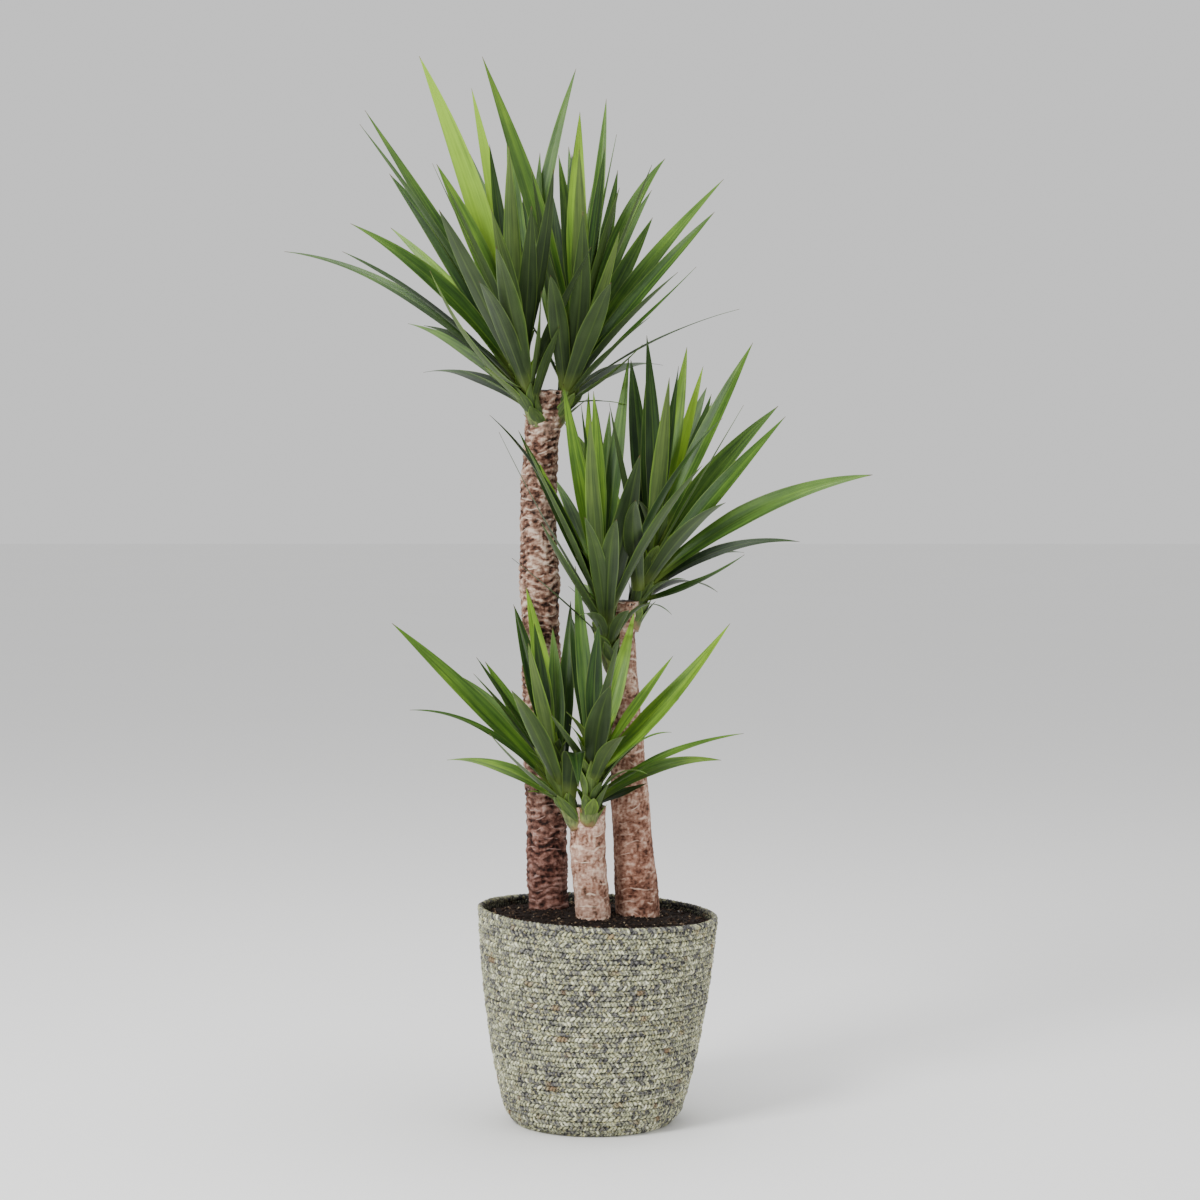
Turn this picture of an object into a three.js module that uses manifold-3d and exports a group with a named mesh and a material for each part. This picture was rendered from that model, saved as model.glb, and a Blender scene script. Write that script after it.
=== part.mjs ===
// Potted yucca: three bare canes of different heights, each with two leafy shoots,
// planted in soil inside a coiled seagrass basket with a thin plastic liner.
// Millimetres, +Z up. The origin is the middle of the basket's base, and -Y is the front.
import * as THREE from 'three';
import { mergeVertices } from 'three/addons/utils/BufferGeometryUtils.js';
import Module from 'manifold-3d';

const wasm = await Module();
wasm.setup();

// ---- Driving dimensions -------------------------------------------------------------

const GAP = 0.3;              // clearance between pieces that touch
const BASKET_HEIGHT = 236;
const BASKET_WALL = 7;
const RIM_ROUNDING = 1.5;     // the rim's bevel, inside and outside
const BASKET_OUTLINE = [      // radius and height up the outside, between foot and rim
  [78, 0], [90, 4], [99, 14], [104, 30], [110, 55], [116, 82], [125, 138], [130, 182], [134, 233],
];
const RIM_LEAN = 5.5;         // the mouth sits this far to the right of the foot
const RIM_DROP = 6;           // and its right side is this much lower than its middle
const LINER_WALL = 1;
const LINER_TOP = 214;
const SOIL_EDGE = 225;        // soil height at the basket wall
const SOIL_SHOULDER = 228;    // at its shoulder
const SOIL_CROWN = 232;       // and round the canes
const SOIL_MIDDLE = 233;
const SOIL_SHOULDER_AT = 0.75; // places on the soil, as shares of the way out to its edge
const SOIL_CROWN_AT = 0.45;
const BOWL_SPACING = 4;       // least height between a bowl's top and the point below it
const ROUND_SIDES = 32;       // flat sides round the basket, liner and soil
const CANE_SIDES = 12;
const CANE_RINGS = 16;
const RING_SWELL = 0.025;     // how far the leaf-scar rings stand out, as a share of the radius
const FLAT_SIDE_SLACK = 1.1;  // widens a hole's margin, as its flat sides come closer than its corners
const STEM_SIDES = 8;
const STEM_RINGS = 4;
const STEM_FOOT_RADIUS = 12;
const STEM_TOP_RADIUS = 7;
const LEAF_INSET = 0.5;       // where a leaf starts, as a share of its stem's radius
const LEAF_STEPS = 5;
const LEAF_THICKNESS = 1.8;
const LEAF_CHANNEL = 0.16;    // depth of the leaf's channel as a share of its width
const LEAF_FOOT = 0.55;       // width at the foot as a share of the full width
const LEAF_WIDEST = 0.4;      // where the leaf is widest, as a share of its length
const LEAF_TAPER = 1.7;       // how long it stays wide before its tip
const EDGE_MARGIN = 4;        // gaps added past each edge of a leaf that others are trimmed by
const FAN_RISES = [62, -8];   // rise of the first and last leaf of a rear fan, in degrees
const FAN_ARCH = 16;
const HEART_RISES = [82, 48]; // and of the young leaves round a crown
const HEART_ARCH = 0;
const HEART_WIDTH = 20;
const SIDE_TURN = 40;         // twist of such a leaf where it points straight to one side
const LOWEST_LEAF = 0.3;      // where the lowest leaf joins, as a share of the stem's length

// Each cane: points up its middle, and its radius at each point. The first is buried.
const CANES = [
  {
    name: 'cane_tall',
    middle: [[-45, 45, 175], [-50, 45, 230], [-55, 45, 420], [-60, 45, 580], [-60, 45, 745], [-50, 45, 815]],
    radius: [24, 23, 23, 22, 20, 19],
  },
  {
    name: 'cane_medium',
    middle: [[50, 15, 180], [50, 15, 230], [40, 15, 380], [35, 15, 470], [30, 15, 540], [35, 15, 580]],
    radius: [26, 25, 21, 18, 17, 17],
  },
  {
    name: 'cane_short',
    middle: [[0, -25, 185], [0, -25, 235], [-5, -25, 295], [-5, -25, 355]],
    radius: [21, 20, 20, 20],
  },
];

// Each shoot: the points up its stem, from inside the cane to the crown, then its leaves.
// A leaf is [heading, rise, length, width, arch, turn]. Its heading goes in degrees from
// the right round to the back, its rise in degrees above level, and its length straight
// from the crown to its tip. Arch is how high its middle bows above that line, and turn is
// its twist in degrees. Outer leaves are pieces of their own, and inner leaves are one body
// with the stem. The fan is the headings of the leaves behind and the heart is those of
// the young leaves round the crown, both from the steepest to the most level.
const SHOOTS = [
  {
    name: 'tall_left',
    stem: [[-55, 40, 770], [-75, 25, 800], [-85, 15, 875]],
    outer: [
      [170, 20, 285, 22, 34, -30], [200, 32, 225, 29, 18, -60], [175, 56, 305, 25, 6, -40],
      [150, 48, 255, 28, 6, -50], [150, 68, 345, 27, 12, -45], [250, 29, 250, 30, 10, -10],
      [230, 25, 155, 20, -26, -20], [267, 17, 270, 25, 16, 0],
    ],
    inner: [
      [192, 25, 215, 21, 14, -20], [190, 53, 290, 23, 8, -30], [185, 65, 210, 25, 4, -60],
      [225, 57, 190, 22, 4, -20], [125, 72, 300, 21, 4, 0], [110, 52, 280, 22, 10, 0],
      [260, 44, 185, 22, 6, 0], [288, 25, 105, 10, -14, 30], [190, -30, 75, 9, 6, 0],
      [225, -35, 60, 12, 2, 0], [305, 5, 85, 17, 2, 10], [45, 73, 320, 17, 20, 30],
      [97, 64, 270, 22, 6, 0], [262, 11, 235, 22, 20, 0], [150, 7, 125, 18, 16, -20],
      [280, 50, 175, 22, 4, 0], [315, 38, 150, 22, 2, 10],
    ],
    fan: { headings: [85, 115, 140, 100, 125, 120], length: 235, width: 22 },
    heart: { headings: [180, 60, 265, 130, 215, 290, 100], length: 215 },
  },
  {
    name: 'tall_right',
    stem: [[-45, 45, 780], [-25, 45, 805], [-15, 45, 885]],
    outer: [
      [200, 69, 320, 32, 4, -65], [305, 63, 170, 34, 4, 40], [20, 62, 220, 21, 26, 30],
      [5, 46, 235, 25, 8, 45], [350, 40, 200, 25, 4, 50], [310, 18, 175, 24, 6, 20],
      [335, 5, 195, 9, 12, 20], [278, 8, 250, 25, 16, 0],
    ],
    inner: [
      [65, 75, 275, 16, 8, 20], [90, 78, 255, 24, 2, 0], [95, 54, 275, 20, 8, 0],
      [335, 78, 220, 18, 2, 30], [105, 52, 220, 24, 6, 0], [85, 45, 270, 22, 10, 0],
      [50, 52, 210, 19, 10, 30], [335, 62, 170, 20, 4, 35], [35, 52, 165, 22, 4, 35],
      [337, 25, 155, 14, -2, 30], [295, 44, 145, 18, 2, 10], [305, 3, 135, 13, 4, 10],
      [317, -12, 98, 12, -6, 10], [330, -55, 105, 7, 4, 0], [262, 12, 215, 22, 18, 0],
      [272, 45, 170, 24, 2, 0], [245, 45, 175, 22, 4, -10], [190, 30, 90, 16, 2, -20],
    ],
    fan: { headings: [95, 60, 105, 70, 80, 65], length: 235, width: 22 },
    heart: { headings: [0, 120, 270, 60, 320, 245, 85], length: 205 },
  },
  {
    name: 'medium_left',
    stem: [[25, 5, 505], [10, -10, 535], [10, -15, 625]],
    outer: [
      [192, 52, 205, 18, 24, -30], [235, 22, 125, 20, -6, -20], [145, 75, 205, 21, -6, -35],
      [55, 77, 235, 19, 4, 15], [333, 47, 215, 26, 28, 40], [288, 42, 175, 29, 14, 0],
      [302, 28, 225, 17, 16, 10], [265, 14, 215, 19, 14, 0],
    ],
    inner: [
      [213, 47, 195, 15, -8, -20], [168, 57, 132, 15, 2, -30], [215, 3, 120, 13, 2, -20],
      [110, 55, 160, 15, 4, 0], [105, 73, 200, 17, -4, 0], [125, 85, 190, 17, 0, -30],
      [258, -25, 130, 16, 14, 0], [312, -26, 125, 10, 26, 0], [290, -30, 100, 15, 8, 0],
      [274, 13, 220, 22, 20, 0],
    ],
    fan: { headings: [95, 108, 100], length: 210, width: 20 },
    heart: { headings: [200, 80, 260, 165, 225], length: 175 },
  },
  {
    name: 'medium_right',
    stem: [[40, 15, 550], [55, 25, 585], [70, 30, 660]],
    outer: [
      [115, 84, 220, 19, -4, -20], [10, 62, 238, 25, 8, 45], [20, 43, 205, 28, 8, 50],
      [355, 41, 193, 27, 4, 50], [348, 14, 252, 30, 24, 50], [15, -5, 172, 17, 22, 35],
      [264, 8, 245, 22, 18, 0], [291, 9, 200, 22, 16, 0],
    ],
    inner: [
      [88, 50, 185, 16, 6, 0], [52, 74, 215, 20, 4, 25], [50, 65, 205, 16, 4, 20],
      [62, 45, 208, 14, 8, 20], [345, -15, 106, 17, -8, 30], [230, 60, 162, 16, -8, -10],
      [300, -40, 84, 8, 10, 0], [58, -28, 160, 20, 18, 0],
    ],
    fan: { headings: [105, 65, 125, 75, 90, 60], length: 220, width: 22 },
    heart: { headings: [0, 100, 280, 50, 320], length: 185 },
  },
  {
    name: 'short_left',
    stem: [[-15, -30, 335], [-35, -35, 360], [-45, -40, 420]],
    outer: [
      [177, 38, 225, 26, 8, -45], [147, 46, 130, 20, 4, -30], [193, 16, 165, 12, 24, -30],
      [232, 13, 110, 22, -6, -20], [115, 68, 190, 22, 2, -10], [79, 57, 190, 19, 2, 0],
      [284, -14, 128, 26, 48, 0], [255, 26, 172, 22, 10, 0],
    ],
    inner: [
      [190, 44, 121, 15, 4, -30], [212, 73, 168, 14, 4, -20], [127, 79, 132, 16, 2, -20],
      [225, -50, 58, 9, 6, 0],
    ],
    fan: { headings: [122, 140, 135], length: 175, width: 20 },
    heart: { headings: [180, 90, 250, 210], length: 140 },
  },
  {
    name: 'short_right',
    stem: [[-5, -35, 340], [0, -50, 365], [0, -60, 425]],
    outer: [
      [112, 75, 203, 18, -2, -30], [42, 67, 158, 21, -2, 30], [356, 42, 202, 28, -6, 50],
      [20, 26, 113, 20, 6, 30], [357, 5, 166, 12, 10, 30], [235, 27, 88, 19, 4, -20],
      [278, 29, 156, 28, 8, 0], [283, 9, 156, 20, 12, 0],
    ],
    inner: [
      [327, 11, 103, 9, 18, 20], [318, -18, 85, 9, 16, 10], [34, -32, 85, 15, 0, 20],
    ],
    fan: { headings: [110, 91, 25], length: 160, width: 19 },
    heart: { headings: [70, 300, 345], length: 135 },
  },
];

// ---- Materials ----------------------------------------------------------------------

function finish(color, roughness) {
  return new THREE.MeshStandardMaterial({ color, roughness, metalness: 0 });
}

const seagrass = finish(0x979685, 0.85);
const linerPlastic = finish(0x2b2b2b, 0.5);
const peat = finish(0x291e1a, 1);
const bark = finish(0x8f6f5c, 0.9);
const stemGreen = finish(0x72803f, 0.55);
const leafGreen = finish(0x4e6b34, 0.4);

// ---- Solids -------------------------------------------------------------------------

// A closed body through rings of points that all have the same number of corners. A ring
// of one point closes that end to a tip.
function loft(rings) {
  const positions = [];
  const faces = [];
  const starts = [];
  for (const ring of rings) {
    starts.push(positions.length / 3);
    for (const point of ring) positions.push(point.x, point.y, point.z);
  }
  const sides = rings[0].length;
  for (let i = 0; i < rings.length - 1; i++) {
    for (let j = 0; j < sides; j++) {
      const next = (j + 1) % sides;
      const lowA = starts[i] + j;
      const lowB = starts[i] + next;
      if (rings[i + 1].length === 1) {
        faces.push(lowA, lowB, starts[i + 1]);
      } else {
        const highA = starts[i + 1] + j;
        const highB = starts[i + 1] + next;
        faces.push(lowA, lowB, highB, lowA, highB, highA);
      }
    }
  }
  const lastStart = starts[starts.length - 1];
  for (let j = 1; j < sides - 1; j++) {
    faces.push(0, j + 1, j);
    if (rings[rings.length - 1].length > 1) faces.push(lastStart, lastStart + j, lastStart + j + 1);
  }
  return manifold(new Float32Array(positions), new Uint32Array(faces));
}

function manifold(vertProperties, triVerts) {
  return new wasm.Manifold(new wasm.Mesh({ numProp: 3, vertProperties, triVerts }));
}

function manifoldFromGeometry(geometry) {
  geometry.deleteAttribute('normal');
  geometry.deleteAttribute('uv');
  const merged = mergeVertices(geometry, 1e-4);
  const triangles = [];
  const index = merged.index.array;
  for (let i = 0; i < index.length; i += 3) {
    const [a, b, c] = [index[i], index[i + 1], index[i + 2]];
    if (a !== b && b !== c && c !== a) triangles.push(a, b, c);
  }
  return manifold(merged.attributes.position.array, new Uint32Array(triangles));
}

function meshFrom(name, solid, material) {
  const { vertProperties, triVerts } = solid.getMesh();
  const geometry = new THREE.BufferGeometry();
  geometry.setAttribute('position', new THREE.BufferAttribute(vertProperties, 3));
  geometry.setIndex(new THREE.BufferAttribute(triVerts, 1));
  geometry.computeVertexNormals();
  const mesh = new THREE.Mesh(geometry, material.clone());
  mesh.name = name;
  return mesh;
}

// The largest of a solid's separate pieces.
function largestPiece(solid) {
  const pieces = solid.decompose();
  return pieces.reduce((best, piece) => (piece.volume() > best.volume() ? piece : best));
}

// ---- Basket, liner and soil ---------------------------------------------------------

// The basket's outside radius at a height.
function basketRadius(height) {
  const last = BASKET_OUTLINE.length - 1;
  for (let i = 0; i < last; i++) {
    const [radiusA, heightA] = BASKET_OUTLINE[i];
    const [radiusB, heightB] = BASKET_OUTLINE[i + 1];
    if (height <= heightB) return radiusA + ((radiusB - radiusA) * (height - heightA)) / (heightB - heightA);
  }
  return BASKET_OUTLINE[last][0];
}

// The outline of a bowl that fits inside the basket, this far in from its outside, from
// its middle out and up to a height.
function bowlOutline(inset, top) {
  const points = [[0, inset], [basketRadius(inset) - inset, inset]];
  for (const [, height] of BASKET_OUTLINE) {
    if (height > 2 * inset && height < top - BOWL_SPACING) points.push([basketRadius(height) - inset, height]);
  }
  points.push([basketRadius(top) - inset, top]);
  return points;
}

// Turns an outline about Z, then leans it the way the soft basket leans: its mouth a
// little to the right of its foot, and lower on the right.
function turned(outline) {
  const points = outline.map(([radius, height]) => new THREE.Vector2(radius, height));
  const geometry = new THREE.LatheGeometry(points, ROUND_SIDES);
  geometry.rotateX(Math.PI / 2);
  const position = geometry.attributes.position;
  for (let i = 0; i < position.count; i++) {
    const x = position.getX(i);
    const z = position.getZ(i);
    const share = z / BASKET_HEIGHT;
    position.setX(i, x + RIM_LEAN * share);
    position.setZ(i, z - RIM_DROP * share * share * share * (x / basketRadius(BASKET_HEIGHT)));
  }
  return manifoldFromGeometry(geometry);
}

function basketSolid() {
  const rimOuter = basketRadius(BASKET_HEIGHT);
  const outside = [[0, 0], ...BASKET_OUTLINE];
  const rim = [
    [rimOuter - RIM_ROUNDING, BASKET_HEIGHT],
    [rimOuter - BASKET_WALL + RIM_ROUNDING, BASKET_HEIGHT],
  ];
  const inside = bowlOutline(BASKET_WALL, BASKET_HEIGHT - 2 * RIM_ROUNDING);
  return turned([...outside, ...rim, ...inside.reverse()]);
}

function linerSolid() {
  const outside = bowlOutline(BASKET_WALL + GAP, LINER_TOP);
  const inside = bowlOutline(BASKET_WALL + GAP + LINER_WALL, LINER_TOP);
  return turned([...outside, ...inside.reverse()]);
}

function soilSolid(caneHoles) {
  const side = bowlOutline(BASKET_WALL + GAP + LINER_WALL + GAP, SOIL_EDGE);
  const edge = side[side.length - 1][0];
  const top = [[edge * SOIL_SHOULDER_AT, SOIL_SHOULDER], [edge * SOIL_CROWN_AT, SOIL_CROWN], [0, SOIL_MIDDLE]];
  return caneHoles.reduce((soil, hole) => soil.subtract(hole), turned([...side, ...top]));
}

// ---- Canes --------------------------------------------------------------------------

// A cane, or the hole it needs when margin is more than zero. Its radius swells a little
// at every ring, as the bark does where old leaves fell.
function caneSolid(cane, margin) {
  const path = new THREE.CatmullRomCurve3(cane.middle.map((point) => new THREE.Vector3(...point)));
  const rings = [];
  for (let i = 0; i <= CANE_RINGS; i++) {
    const t = i / CANE_RINGS;
    const place = t * (cane.radius.length - 1);
    const low = Math.min(Math.floor(place), cane.radius.length - 2);
    const plain = THREE.MathUtils.lerp(cane.radius[low], cane.radius[low + 1], place - low);
    const swell = 1 + RING_SWELL * (i % 2 === 0 ? 1 : -1);
    const centre = path.getPoint(t);
    if (i === 0) centre.z -= margin;
    const ring = [];
    for (let j = 0; j < CANE_SIDES; j++) {
      const angle = (j / CANE_SIDES) * 2 * Math.PI;
      const radius = plain * swell + margin * FLAT_SIDE_SLACK;
      ring.push(new THREE.Vector3(radius * Math.cos(angle), radius * Math.sin(angle), 0).add(centre));
    }
    rings.push(ring);
  }
  if (margin > 0) {
    const last = rings[rings.length - 1];
    rings.push(last.map((point) => point.clone().setZ(point.z + margin)));
  }
  return loft(rings);
}

// ---- Shoots -------------------------------------------------------------------------

function stemCurve(shoot) {
  return new THREE.QuadraticBezierCurve3(...shoot.stem.map((point) => new THREE.Vector3(...point)));
}

function stemRadius(t) {
  return THREE.MathUtils.lerp(STEM_FOOT_RADIUS, STEM_TOP_RADIUS, t);
}

function stemSolid(shoot, margin) {
  const curve = stemCurve(shoot);
  const rings = [];
  for (let i = 0; i <= STEM_RINGS; i++) {
    const t = i / STEM_RINGS;
    const centre = curve.getPoint(t);
    const along = curve.getTangent(t);
    const right = new THREE.Vector3(0, 1, 0).cross(along).normalize();
    const back = along.clone().cross(right);
    const radius = stemRadius(t) + margin;
    const ring = [];
    for (let j = 0; j < STEM_SIDES; j++) {
      const angle = (j / STEM_SIDES) * 2 * Math.PI;
      const point = centre.clone().addScaledVector(right, radius * Math.cos(angle));
      ring.push(point.addScaledVector(back, radius * Math.sin(angle)));
    }
    rings.push(ring);
  }
  return loft(rings);
}

// The leaves of a fan or a heart, evenly from the steepest to the most level.
function spreadLeaves({ headings, length, width }, [steepest, lowest], arch) {
  return headings.map((heading, i) => {
    const rise = THREE.MathUtils.lerp(steepest, lowest, i / (headings.length - 1));
    const turn = SIDE_TURN * Math.cos(THREE.MathUtils.degToRad(heading));
    return [heading, rise, length, width, arch, turn];
  });
}

function reachOf([headingDegrees, riseDegrees, length]) {
  const heading = THREE.MathUtils.degToRad(headingDegrees);
  const rise = THREE.MathUtils.degToRad(riseDegrees);
  const out = length * Math.cos(rise);
  return new THREE.Vector3(out * Math.cos(heading), out * Math.sin(heading), length * Math.sin(rise));
}

// Works out each leaf's curve. The more a leaf leans away from its stem, the lower it
// joins it, so that the leaves nest like those of a real rosette.
function leafCurves(shoot) {
  const stem = stemCurve(shoot);
  const crown = stem.getPoint(1);
  const axis = stem.getTangent(1);
  const outer = shoot.outer.map((row) => ({ row, free: true }));
  const fan = spreadLeaves(shoot.fan, FAN_RISES, FAN_ARCH);
  const heart = spreadLeaves({ ...shoot.heart, width: HEART_WIDTH }, HEART_RISES, HEART_ARCH);
  const inner = [...shoot.inner, ...fan, ...heart].map((row) => ({ row, free: false }));
  const leaves = [...outer, ...inner];
  for (const leaf of leaves) {
    leaf.reach = reachOf(leaf.row);
    leaf.lean = leaf.reach.angleTo(axis);
  }
  const byLean = [...leaves].sort((a, b) => a.lean - b.lean);
  byLean.forEach((leaf, rank) => {
    const [, , , width, arch, turn] = leaf.row;
    const t = THREE.MathUtils.lerp(1, LOWEST_LEAF, rank / (byLean.length - 1));
    const heading = leaf.reach.clone().setZ(0).normalize();
    const start = stem.getPoint(t).addScaledVector(heading, stemRadius(t) * LEAF_INSET);
    const tip = crown.clone().add(leaf.reach);
    const middle = start.clone().lerp(tip, 0.5);
    middle.z += arch * 2;
    leaf.curve = new THREE.QuadraticBezierCurve3(start, middle, tip);
    leaf.level = new THREE.Vector3(-heading.y, heading.x, 0);
    leaf.width = width;
    leaf.turn = THREE.MathUtils.degToRad(turn);
  });
  return leaves;
}

// A leaf is widest before its middle and ends in a point.
function leafWidthShare(t) {
  if (t < LEAF_WIDEST) return THREE.MathUtils.lerp(LEAF_FOOT, 1, t / LEAF_WIDEST);
  return 1 - Math.pow((t - LEAF_WIDEST) / (1 - LEAF_WIDEST), LEAF_TAPER);
}

// A channelled blade: each section is a shallow V with thin edges and a thicker midrib.
// A margin fattens it for trimming, most of all past its edges, which are too thin to grow.
function leafSolid(leaf, margin) {
  const rings = [];
  for (let i = 0; i < LEAF_STEPS; i++) {
    const t = i / LEAF_STEPS;
    const centre = leaf.curve.getPoint(t);
    const along = leaf.curve.getTangent(t);
    const level = leaf.level.clone().applyAxisAngle(along, leaf.turn);
    const upper = along.clone().cross(level).normalize();
    const half = (leaf.width * leafWidthShare(t)) / 2 + margin * EDGE_MARGIN;
    const lift = half * 2 * LEAF_CHANNEL;
    const thick = LEAF_THICKNESS / 2 + margin;
    rings.push([
      centre.clone().addScaledVector(level, half).addScaledVector(upper, lift),
      centre.clone().addScaledVector(upper, thick),
      centre.clone().addScaledVector(level, -half).addScaledVector(upper, lift),
      centre.clone().addScaledVector(upper, -thick),
    ]);
  }
  const tip = leaf.curve.getPoint(1).addScaledVector(leaf.curve.getTangent(1), margin);
  rings.push([tip]);
  return loft(rings);
}

// ---- Assembly -----------------------------------------------------------------------

const yucca = new THREE.Group();
yucca.name = 'potted_yucca';

const caneHoles = CANES.map((cane) => caneSolid(cane, GAP));
yucca.add(meshFrom('basket', basketSolid(), seagrass));
yucca.add(meshFrom('basket_liner', linerSolid(), linerPlastic));
yucca.add(meshFrom('soil', soilSolid(caneHoles), peat));
for (const cane of CANES) yucca.add(meshFrom(cane.name, caneSolid(cane, 0), bark));

// Stems with their inner leaves first, then the outer leaves. Each new piece is trimmed
// back by the clearance from everything that is already in place.
const shoots = SHOOTS.map((shoot) => ({ shoot, leaves: leafCurves(shoot) }));
const taken = [...caneHoles];

function trimmed(solid) {
  return largestPiece(taken.reduce((rest, other) => rest.subtract(other), solid));
}

function shootBody({ shoot, leaves }, margin) {
  const inner = leaves.filter((leaf) => !leaf.free).map((leaf) => leafSolid(leaf, margin));
  return inner.reduce((body, leaf) => body.add(leaf), stemSolid(shoot, margin));
}

for (const part of shoots) {
  yucca.add(meshFrom(`${part.shoot.name}_shoot`, trimmed(shootBody(part, 0)), stemGreen));
  taken.push(shootBody(part, GAP));
}
for (const { shoot, leaves } of shoots) {
  leaves.filter((leaf) => leaf.free).forEach((leaf, i) => {
    yucca.add(meshFrom(`${shoot.name}_leaf_${i + 1}`, trimmed(leafSolid(leaf, 0)), leafGreen));
    taken.push(leafSolid(leaf, GAP));
  });
}

export default yucca;
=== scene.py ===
import math
import random

import bpy
import numpy as np
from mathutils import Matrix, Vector, noise


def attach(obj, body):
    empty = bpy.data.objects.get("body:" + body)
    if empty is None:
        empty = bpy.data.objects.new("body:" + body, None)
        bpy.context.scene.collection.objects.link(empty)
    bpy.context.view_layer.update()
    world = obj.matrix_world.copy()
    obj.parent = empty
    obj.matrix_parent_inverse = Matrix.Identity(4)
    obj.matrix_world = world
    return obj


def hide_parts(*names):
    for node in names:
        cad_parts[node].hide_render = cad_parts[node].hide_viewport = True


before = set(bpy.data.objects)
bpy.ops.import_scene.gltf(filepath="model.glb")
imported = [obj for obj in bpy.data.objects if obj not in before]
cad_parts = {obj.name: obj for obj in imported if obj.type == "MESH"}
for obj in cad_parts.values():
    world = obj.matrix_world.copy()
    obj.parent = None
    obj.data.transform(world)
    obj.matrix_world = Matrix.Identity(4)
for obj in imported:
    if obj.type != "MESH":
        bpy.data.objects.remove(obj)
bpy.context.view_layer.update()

MM = 0.001

# ---- Sizes ---------------------------------------------------------------------------

BASKET_OUTLINE = [  # radius and height up the outside in mm, between foot and rim
    (78, 0), (90, 4), (99, 14), (104, 30), (110, 55), (116, 82), (125, 138), (130, 182), (134, 233),
]
BASKET_HEIGHT = 236
BASKET_WALL = 7
RIM_LEAN = 5.5
RIM_DROP = 6
ROPE_PITCH = 5.8      # height of one row of rope
ROWS_A_PIECE = 8
ROPE_RADIUS = 3.25    # of the rope in the wall
RIM_ROPE_RADIUS = 3.5
ROUND_ROWS_FROM = 200  # above this height the rope is seen from inside too
ROPE_LOBE = 4.6       # length of one turn of a strand along the rope
CANE_BURIED = 0.02    # how much of a cane's buried foot is left out, in metres
BARK_STEP = 0.0016
BARK_SIDES = 110
RIDGE_PITCH = 0.0085  # from one ridge of shaggy bark to the next
SOIL_EDGE = 225
SOIL_CROWN = 232
SOIL_LEAN = 0.86      # how much of the rim's drop the soil follows
CRUMBS = 3600
LINER_FOOT = (70, 8)  # radius and height of the liner's lowest ring in mm
LINER_SIDES = 96

STEM_FOOT_RADIUS = 12
STEM_TOP_RADIUS = 7
LOWEST_LEAF = 0.3     # where the lowest leaf joins, as a share of the stem's length
FAN_RISES = (62, -8)  # rise of the first and last leaf of a rear fan, in degrees
FAN_ARCH = 16
HEART_RISES = (82, 48)  # and of the young leaves round a crown
HEART_ARCH = 0
HEART_WIDTH = 20
SIDE_TURN = 40        # twist of such a leaf where it points straight to one side
LEAF_CHANNEL = 0.16
LEAF_FOOT = 0.55      # width at the foot as a share of the full width
LEAF_WIDEST = 0.4     # where a leaf is widest, as a share of its length
LEAF_TAPER = 1.7      # how long it stays wide before its tip
LEAF_ROWS = 26
SHEATHS = 34          # leaf bases on each stem
SHEATH_TURN = 2.39996  # from one to the next round the stem, the golden angle
SHEATH_ROWS = 8       # a leaf base is short, so it needs fewer
DEAD_SHEATHS = (1, 4)  # the leaf bases that have died, counted from the lowest
LEAF_QUADS = 8        # quads across one side of a leaf

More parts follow.
